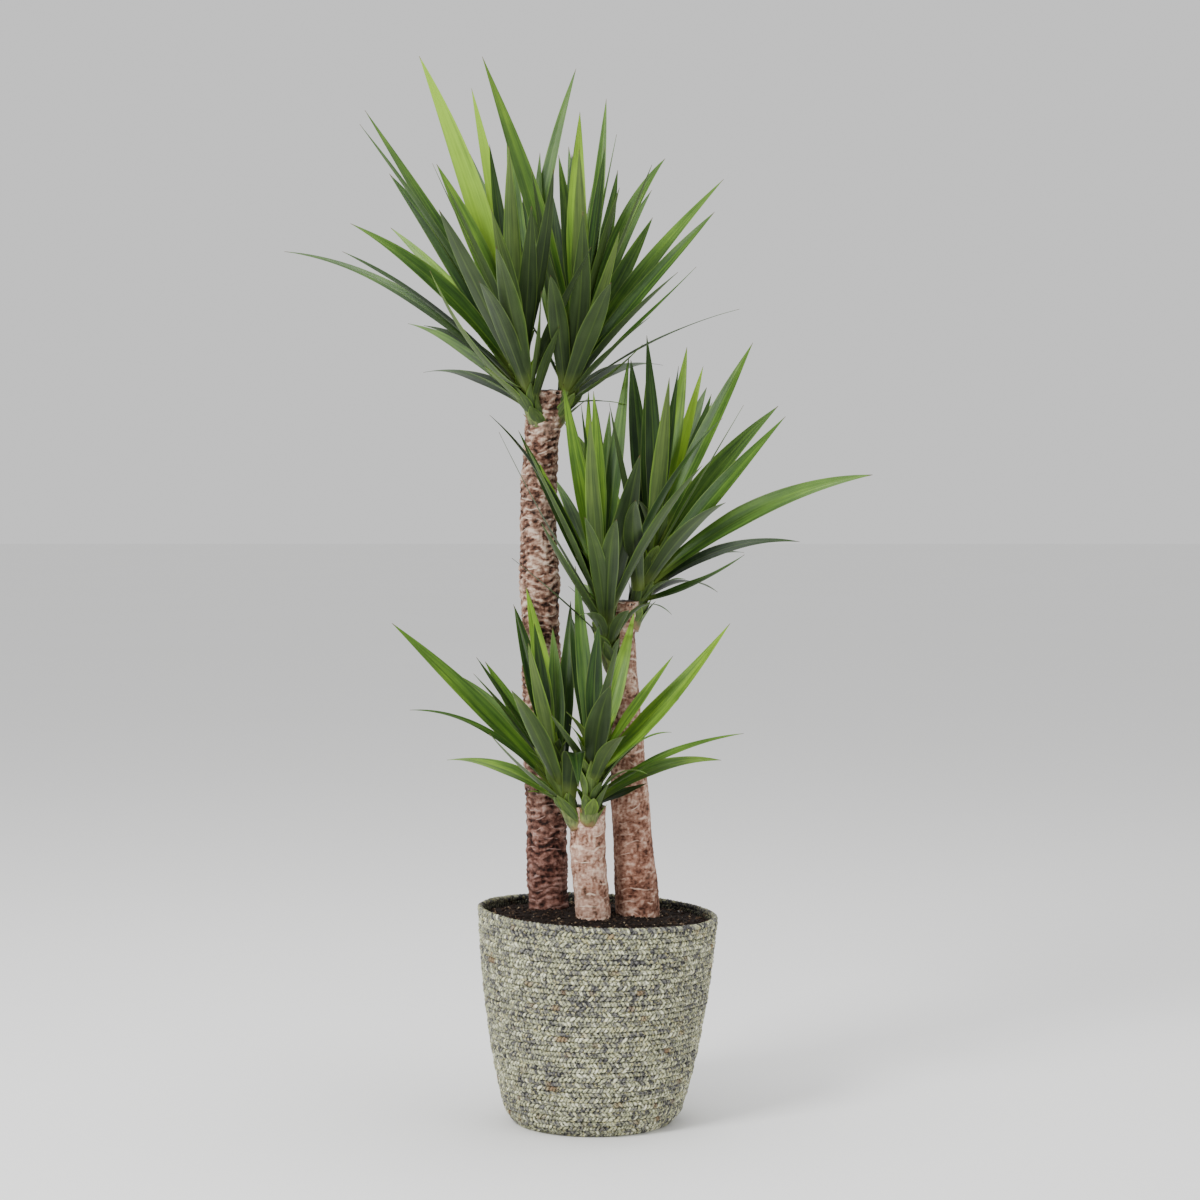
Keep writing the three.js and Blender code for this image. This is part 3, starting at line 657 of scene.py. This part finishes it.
def add_stem(surface, shoot, dice):
    """A stem with a spiral of worn leaf bases standing out a little."""
    stem = [Vector(point) for point in shoot["stem"]]
    rings, sides = 46, 28
    before = None
    for i in range(rings + 1):
        t = i / rings
        way = bezier_way(stem, t)
        right = Vector((0, 1, 0)).cross(way).normalized()
        back = way.cross(right)
        ring = []
        for j in range(sides):
            angle = j / sides * 2 * math.pi
            step = (t * 5 + 2 * j / sides) % 1
            wear = noise.noise(Vector((j * 0.5, i * 0.12, shoot["stem"][0][0])))
            # relief sets the bumps and also the colour, for painted shade in the hollows
            relief = 0.25 + 0.35 * step + 0.45 * wear
            radius = stem_radius(t) * (0.90 + 0.14 * relief)
            place = bezier(stem, t) + right * radius * math.cos(angle) + back * radius * math.sin(angle)
            dried = max(0.0, min(1.0, (0.10 - t) * 9 + 0.6 * noise.noise(Vector((j * 0.5, i * 0.2, 3)))))
            ring.append(surface.add(place * MM, relief=relief * 0.8, dry=dried))
        if before:
            surface.bridge(before, ring)
        else:
            surface.faces.append(tuple(reversed(ring)))
        before = ring
    surface.faces.append(tuple(before))


def make_shoot(shoot, leaf_finish, stem_finish):
    dice = random.Random(shoot["name"])
    name = shoot["name"]
    inner = Surface(*LEAF_LABELS)
    for leaf in leaf_curves(shoot):
        if leaf["number"] < len(shoot["outer"]):
            outer = Surface(*LEAF_LABELS)
            add_leaf(outer, leaf, dice)
            node_name = f"{name}_leaf_{leaf['number'] + 1}"
            make_from(outer, f"{name}_blade_{leaf['number'] + 1}", leaf_finish, (node_name,))
        else:
            add_leaf(inner, leaf, dice)
    for sheath in sheath_leaves(shoot, dice):
        add_leaf(inner, sheath, dice, SHEATH_ROWS, sheath["dry"])
    make_from(inner, f"{name}_inner_leaves", leaf_finish, (f"{name}_shoot",))
    stem = Surface("relief", "dry")
    add_stem(stem, shoot, dice)
    make_from(stem, f"{name}_stem", stem_finish)


# ---- Canes ---------------------------------------------------------------------------

def cane_rings(name):
    """The centre, height and radius of each ring of a CAD cane, from the bottom up."""
    levels = {}
    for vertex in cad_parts[name].data.vertices:
        levels.setdefault(round(vertex.co.z, 5), set()).add((round(vertex.co.x, 5), round(vertex.co.y, 5)))
    rings = []
    for height in sorted(levels):
        places = np.array(sorted(levels[height]))
        low, high = places.min(axis=0), places.max(axis=0)
        rings.append(((low + high) / 2, height, float((high - low).max() / 2)))
    return rings


def bark_relief(c, s, z, seed, shagginess):
    """The bark's height from 0 to 1: torn level ridges, or fine grain where it is worn."""
    warp = noise.noise(Vector((c * 1.3 + seed, s * 1.3, z * 30)))
    ridge = 1 - abs(2 * ((z / RIDGE_PITCH + 1.2 * warp) % 1) - 1)
    torn = noise.noise(Vector((c * 2.6 + seed, s * 2.6, z * 75)))
    flake = 1 - 2.3 * abs(noise.noise(Vector((c * 2.2 + seed, s * 2.2, z * 270 + warp * 2))))
    grit = noise.noise(Vector((c * 7 + seed, s * 7, z * 300)))
    shaggy = 0.50 * ridge + 0.50 * torn + 0.30 * max(flake, 0) + 0.22 * grit
    worn = 0.46 + 0.50 * grit + 0.28 * torn + 0.14 * (flake - 0.5)
    return lerp(worn, shaggy, shagginess)


def make_cane(name, seed, shag, shagginess, finish, cut_finish):
    """A cane with flaking bark, and a dark sealed top."""
    rings = cane_rings(name)
    heights = [ring[1] for ring in rings]
    centre_x = [float(ring[0][0]) for ring in rings]
    centre_y = [float(ring[0][1]) for ring in rings]
    radii = [ring[2] for ring in rings]
    low, high = heights[0] + CANE_BURIED, heights[-1]
    rows = int((high - low) / BARK_STEP)
    surface = Surface("relief")
    before = None
    for i in range(rows + 1):
        z = lerp(low, high, i / rows)
        x, y = np.interp(z, heights, centre_x), np.interp(z, heights, centre_y)
        plain = np.interp(z, heights, radii)
        ring = []
        for j in range(BARK_SIDES):
            angle = j / BARK_SIDES * 2 * math.pi
            c, s = math.cos(angle), math.sin(angle)
            relief = bark_relief(c, s, z, seed, shagginess)
            bulge = 0.0012 * noise.noise(Vector((c * 1.2 + seed, s * 1.2, z * 14)))
            radius = plain * 0.975 + shag * (relief - 0.4) + bulge
            shade = max(0.0, min(1.0, 0.02 + 1.15 * relief))
            ring.append(surface.add(Vector((x + radius * c, y + radius * s, z)), relief=shade))
        if before:
            surface.bridge(before, ring)
        else:
            surface.faces.append(tuple(reversed(ring)))
        before = ring
    surface.faces.append(tuple(before))
    make_from(surface, f"{name}_bark", finish, (name,))
    make_cut_top(name, seed, (centre_x[-1], centre_y[-1], high), radii[-1] * 0.93, cut_finish)


def make_cut_top(name, seed, centre, reach, finish):
    """The sawn and sealed disc on a cane's top."""
    sides, rings = 48, 8
    top = Surface("relief")
    before = None
    for k in range(1, rings + 1):
        share = k / rings
        ring = []
        for j in range(sides):
            angle = j / sides * 2 * math.pi
            c, s = math.cos(angle) * share, math.sin(angle) * share
            rough = 0.0010 * noise.noise(Vector((c * 4, s * 4, seed)))
            z = centre[2] + 0.0012 + rough - 0.0022 * share ** 6
            ring.append(top.add(Vector((centre[0] + reach * c, centre[1] + reach * s, z))))
        if before:
            top.bridge(before, ring)
        else:
            top.faces.append(tuple(ring))
        before = ring
    foot = [top.add(top.points[index] - Vector((0, 0, 0.003))) for index in before]
    top.bridge(before, foot)
    top.faces.append(tuple(reversed(foot)))
    make_from(top, f"{name}_cut_top", finish)


# ---- Basket --------------------------------------------------------------------------

def leaned(points):
    """The soft basket's lean: its mouth a little to the right, and lower on the right."""
    share = points[:, 2] / BASKET_HEIGHT
    rim = BASKET_OUTLINE[-1][0]
    result = points.copy()
    result[:, 0] += RIM_LEAN * share
    result[:, 2] -= RIM_DROP * share ** 3 * points[:, 0] / rim
    return result


def outline_rows():
    """Rope rows up the wall, from the foot to the rim: centre radius, height, facing."""
    heights = np.array([height for _, height in BASKET_OUTLINE], float)
    radii = np.array([radius for radius, _ in BASKET_OUTLINE], float)
    reach = np.concatenate([[0], np.cumsum(np.hypot(np.diff(radii), np.diff(heights)))])
    count = int(round(reach[-1] / ROPE_PITCH))
    rows = []
    for i in range(count + 1):
        along = reach[-1] * i / count
        radius, height = np.interp(along, reach, radii), np.interp(along, reach, heights)
        ahead = min(along + 4, reach[-1])
        behind = max(along - 4, 0)
        rise = np.interp(ahead, reach, heights) - np.interp(behind, reach, heights)
        widen = np.interp(ahead, reach, radii) - np.interp(behind, reach, radii)
        facing = math.atan2(-widen, rise)
        rows.append((radius, height, facing))
    return rows


def rope_row(radius, height, facing, number, turn_from, turn_to, sides, dice, thickness=ROPE_RADIUS):
    """One row of two-strand rope as arrays: points, faces and its values."""
    circle = 2 * math.pi * radius
    lobes = max(8, int(round(circle / ROPE_LOBE)))
    samples = lobes * 4
    tones = [dice.betavariate(1.9, 2.0) for _ in range(lobes)]
    swell = np.array([dice.uniform(0.72, 1.20) for _ in range(lobes)])
    steps = np.arange(samples) / samples
    offset = dice.random()
    psi = np.linspace(turn_from, turn_to, sides + 1)
    closed = turn_to - turn_from > 6.2
    if closed:
        psi = psi[:-1]
    grid_s, grid_p = np.meshgrid(steps, psi, indexing="ij")
    slack = dice.uniform(0.6, 1.3) * np.sin(grid_s * 2 * math.pi * dice.randint(2, 5) + offset * 6)
    slack = slack + 0.5 * np.sin(grid_s * 2 * math.pi * dice.randint(9, 17) + offset * 11)
    strand_lean = 1 if number % 2 else -1
    phase = grid_s * lobes + offset + slack + strand_lean * grid_p / math.pi
    index = np.floor(phase).astype(int) % lobes
    within = phase - np.floor(phase)
    arc = np.sin(within * math.pi)
    depth = arc ** 0.7
    rope = thickness * (0.60 + 0.46 * depth * swell[index])
    angle = grid_s * 2 * math.pi
    wobble = 0.45 * np.sin(angle * 3 + number) + 0.35 * np.sin(angle * 7 + number * 2.3)
    centre_r = radius - thickness + 0.3 * np.sin(angle * 5 + number * 1.7)
    out = centre_r + rope * np.cos(grid_p + facing)
    up = height + 0.5 * wobble + rope * np.sin(grid_p + facing)
    points = np.stack([out * np.cos(angle), out * np.sin(angle), np.maximum(up, 0.0)], axis=-1)
    points = points.reshape(-1, 3)
    cross = len(psi)
    faces = []
    last = cross if closed else cross - 1
    for i in range(samples):
        start, after = i * cross, ((i + 1) % samples) * cross
        for j in range(last):
            k = (j + 1) % cross
            faces.append((start + j, after + j, after + k, start + k))
    # painted shade: darker between strand turns and on the side of the rope facing in
    outward = np.cos(np.clip(grid_p, -math.pi, math.pi)) * 0.5 + 0.5
    values = {
        "lobe": np.array(tones)[index].ravel(),
        "depth": (depth * (0.25 + 0.75 * outward)).ravel(),
        "row": np.full(points.shape[0], float(number % 23)),
        "run": (grid_s * circle).ravel(),
        "side": within.ravel(),
    }
    return points, faces, values


def make_rope_piece(name, rows, material, replaces=()):
    all_points, all_faces, all_values = [], [], {}
    total = 0
    for points, faces, values in rows:
        all_points.append(leaned(points) * MM)
        all_faces.extend(tuple(corner + total for corner in face) for face in faces)
        total += len(points)
        for label, numbers in values.items():
            all_values.setdefault(label, []).append(numbers)
    joined = {label: np.concatenate(parts) for label, parts in all_values.items()}
    make_piece(name, np.concatenate(all_points).tolist(), all_faces, joined, material, replaces)


def make_basket(rope, rim_rope):
    dice = random.Random(7)
    rows = outline_rows()
    wall = []
    for number, (radius, height, facing) in enumerate(rows[:-1]):
        if height > ROUND_ROWS_FROM:
            wall.append(rope_row(radius, height, facing, number, -math.pi, math.pi, 14, dice))
        else:
            wall.append(rope_row(radius, height, facing, number, -1.9, 1.9, 7, dice))
    replaced = ("basket",)
    for start in range(0, len(wall), ROWS_A_PIECE):
        make_rope_piece(f"basket_rows_{start}", wall[start:start + ROWS_A_PIECE], rope, replaced)
        replaced = ()
    radius, height, facing = rows[-1]
    rim = rope_row(radius, height, facing, 99, -math.pi, math.pi, 16, dice, RIM_ROPE_RADIUS)
    make_rope_piece("basket_rim", [rim], rim_rope)
    base = []
    ring = BASKET_OUTLINE[0][0] - ROPE_PITCH * 0.5
    while ring > 4:
        base.append(rope_row(ring + 3, 3.3, 0.0, 200 + int(ring), -math.pi, math.pi, 10, dice))
        ring -= ROPE_PITCH
    make_rope_piece("basket_base_coil", base, rope)


# ---- Soil ----------------------------------------------------------------------------

def soil_height(x, y):
    """The soil's height in mm: domed round the canes, uneven, leaning with the basket."""
    rim = BASKET_OUTLINE[-1][0]
    share = min(1.0, math.hypot(x - RIM_LEAN, y) / rim)
    dome = lerp(SOIL_CROWN, SOIL_EDGE, share ** 1.6)
    broad = noise.noise(Vector((x * 0.05, y * 0.05, 1)))
    close = noise.noise(Vector((x * 0.18, y * 0.18, 5)))
    bumps = 2.2 * broad + 1.1 * close
    return dome + bumps - RIM_DROP * SOIL_LEAN * x / rim


def make_soil(finish):
    surface = Surface("crumb")
    reach = BASKET_OUTLINE[-1][0] - BASKET_WALL + 1.0
    rings, sides = 56, 150
    before = None
    for i in range(1, rings + 1):
        radius = reach * i / rings
        ring = []
        for j in range(sides):
            angle = j / sides * 2 * math.pi
            x, y = RIM_LEAN + radius * math.cos(angle), radius * math.sin(angle)
            rough = noise.noise(Vector((x * 0.45, y * 0.45, 9)))
            z = soil_height(x, y) + 0.9 * rough
            ring.append(surface.add(Vector((x, y, z)) * MM, crumb=0.25 + 0.3 * rough))
        if before:
            surface.bridge(before, ring)
        else:
            surface.faces.append(tuple(ring))
        before = ring
    skirt = [surface.add(surface.points[index] - Vector((0, 0, 0.03))) for index in before]
    surface.bridge(before, skirt)
    surface.faces.append(tuple(reversed(skirt)))
    make_from(surface, "soil_bed", finish, ("soil",))


CRUMB_CORNERS = [(1, 0, 0), (0, 1, 0), (-1, 0, 0), (0, -1, 0), (0, 0, 1), (0, 0, -1)]
CRUMB_FACES = [(0, 1, 4), (1, 2, 4), (2, 3, 4), (3, 0, 4), (1, 0, 5), (2, 1, 5), (3, 2, 5), (0, 3, 5)]


def make_crumbs(finish):
    """Loose crumbs of peat, fibres and pale specks lying on the soil."""
    dice = random.Random(21)
    surface = Surface("crumb")
    reach = BASKET_OUTLINE[-1][0] - BASKET_WALL - 3
    for _ in range(CRUMBS):
        radius = reach * math.sqrt(dice.random())
        angle = dice.uniform(0, 2 * math.pi)
        x, y = RIM_LEAN + radius * math.cos(angle), radius * math.sin(angle)
        size = 0.5 + 1.7 * dice.random() ** 3
        tone = dice.choice((0.2, 0.35, 0.45, 0.55, 0.7, 0.85, 0.97)) * dice.uniform(0.85, 1.0)
        length = size * dice.uniform(1.0, 2.6)
        spin = dice.uniform(0, math.pi)
        centre = Vector((x, y, soil_height(x, y) + size * 0.4))
        first = len(surface.points)
        for cx, cy, cz in CRUMB_CORNERS:
            px, py = cx * length, cy * size
            along = px * math.cos(spin) - py * math.sin(spin)
            across = px * math.sin(spin) + py * math.cos(spin)
            corner = Vector((along, across, cz * size * 0.8))
            surface.add((centre + corner * dice.uniform(0.7, 1.15)) * MM, crumb=tone)
        surface.faces.extend(tuple(first + corner for corner in face) for face in CRUMB_FACES)
    make_from(surface, "soil_crumbs", finish)


def make_liner(finish):
    """The thin plastic sheet inside the basket, hidden below the soil."""
    surface = Surface("crumb")
    before = None
    for radius, height in [LINER_FOOT] + BASKET_OUTLINE[2:-1]:
        inner = radius - (BASKET_WALL + 1 if height > LINER_FOOT[1] else 0)
        ring = []
        for j in range(LINER_SIDES):
            angle = j / LINER_SIDES * 2 * math.pi
            crumple = 0.4 * math.sin(angle * 23 + height)
            reach = inner + crumple
            points = np.array([[reach * math.cos(angle), reach * math.sin(angle), height]])
            ring.append(surface.add(Vector(leaned(points)[0]) * MM))
        if before:
            surface.bridge(before, ring)
        else:
            surface.faces.append(tuple(ring))
        before = ring
    piece = make_from(surface, "liner_sheet", finish, ("basket_liner",))
    thicken = piece.modifiers.new("thickness", "SOLIDIFY")
    thicken.thickness = 0.0008


def liner_material():
    material, tree = material_tree("black_plastic_sheet")
    creases = noise_value(tree, object_place(tree), 60.0, 4.0)
    colour = mixed(tree, creases, (0.012, 0.012, 0.013), (0.035, 0.035, 0.036))
    finish_shader(tree, colour, 0.4, creases, 0.4, 0.002)
    return material


# ---- Studio --------------------------------------------------------------------------

def make_studio():
    """A pale floor, a soft key from the front left, a fill and an even sky."""
    mesh = bpy.data.meshes.new("floor")
    half = 30
    corners = [(-half, -half, 0), (half, -half, 0), (half, half, 0), (-half, half, 0)]
    mesh.from_pydata(corners, [], [(0, 1, 2, 3)])
    mesh.materials.append(floor_material())
    floor = bpy.data.objects.new("floor", mesh)
    bpy.context.scene.collection.objects.link(floor)
    world = bpy.data.worlds.new("studio")
    world.use_nodes = True
    world.node_tree.nodes["Background"].inputs["Color"].default_value = (1.0, 1.0, 1.0, 1.0)
    world.node_tree.nodes["Background"].inputs["Strength"].default_value = 0.85
    bpy.context.scene.world = world
    aim = Vector((0, 0, 0.6))
    lamps = [
        ("key", (-1.8, -2.2, 2.6), 1.0, 118.0),
        ("top", (0.1, 0.2, 3.0), 1.4, 45.0),
        ("fill", (2.4, -2.0, 1.2), 1.8, 16.0),
    ]
    for name, place, size, watts in lamps:
        light = bpy.data.lights.new(name, "AREA")
        light.size = size
        light.energy = watts
        lamp = bpy.data.objects.new(name, light)
        lamp.location = place
        lamp.rotation_euler = (aim - Vector(place)).to_track_quat("-Z", "Y").to_euler()
        bpy.context.scene.collection.objects.link(lamp)


def make_camera():
    """Level with the lower leaves, straight in front, from a few metres away."""
    data = bpy.data.cameras.new("camera")
    data.lens = 86.5
    data.sensor_width = 36
    camera = bpy.data.objects.new("camera", data)
    camera.location = (0.0078, -3.2, 0.713)
    aim = Vector((0.0078, 0, 0.582))
    camera.rotation_euler = (aim - camera.location).to_track_quat("-Z", "Y").to_euler()
    bpy.context.scene.collection.objects.link(camera)
    bpy.context.scene.camera = camera


make_camera()
make_studio()
make_basket(rope_material("seagrass_rope", 0.05, 0.04), rope_material("seagrass_rim", -0.08, 0.35))
make_liner(liner_material())
peat = soil_material()
make_soil(peat)
make_crumbs(peat)
cut = cut_material()
# crack colours: the bark's own dark plus painted shade deep in the cracks
dark_crack, brown = (0.028, 0.014, 0.010), (0.20, 0.105, 0.072)
tan, ash = (0.46, 0.31, 0.23), (0.74, 0.61, 0.50)
shaggy_bark = bark_material("bark_shaggy", dark_crack, brown, tan, ash, (0.56, 0.42, 0.44))
soft_crack, light_brown = (0.06, 0.030, 0.020), (0.27, 0.145, 0.098)
worn_bark = bark_material("bark_worn", soft_crack, light_brown, tan, ash, (0.95, 0.82, 0.80))
rust, pink, cream = (0.36, 0.21, 0.15), (0.60, 0.41, 0.32), (0.82, 0.68, 0.55)
pale_bark = bark_material("bark_pale", (0.10, 0.055, 0.036), rust, pink, cream, (0.96, 0.92, 0.90))
make_cane("cane_tall", 3, 0.0034, 0.85, shaggy_bark, cut)
make_cane("cane_medium", 11, 0.0014, 0.25, worn_bark, cut)
make_cane("cane_short", 29, 0.0010, 0.1, pale_bark, cut)
leaf_finish, stem_finish = leaf_material(), stem_material()
for shoot in SHOOTS:
    make_shoot(shoot, leaf_finish, stem_finish)
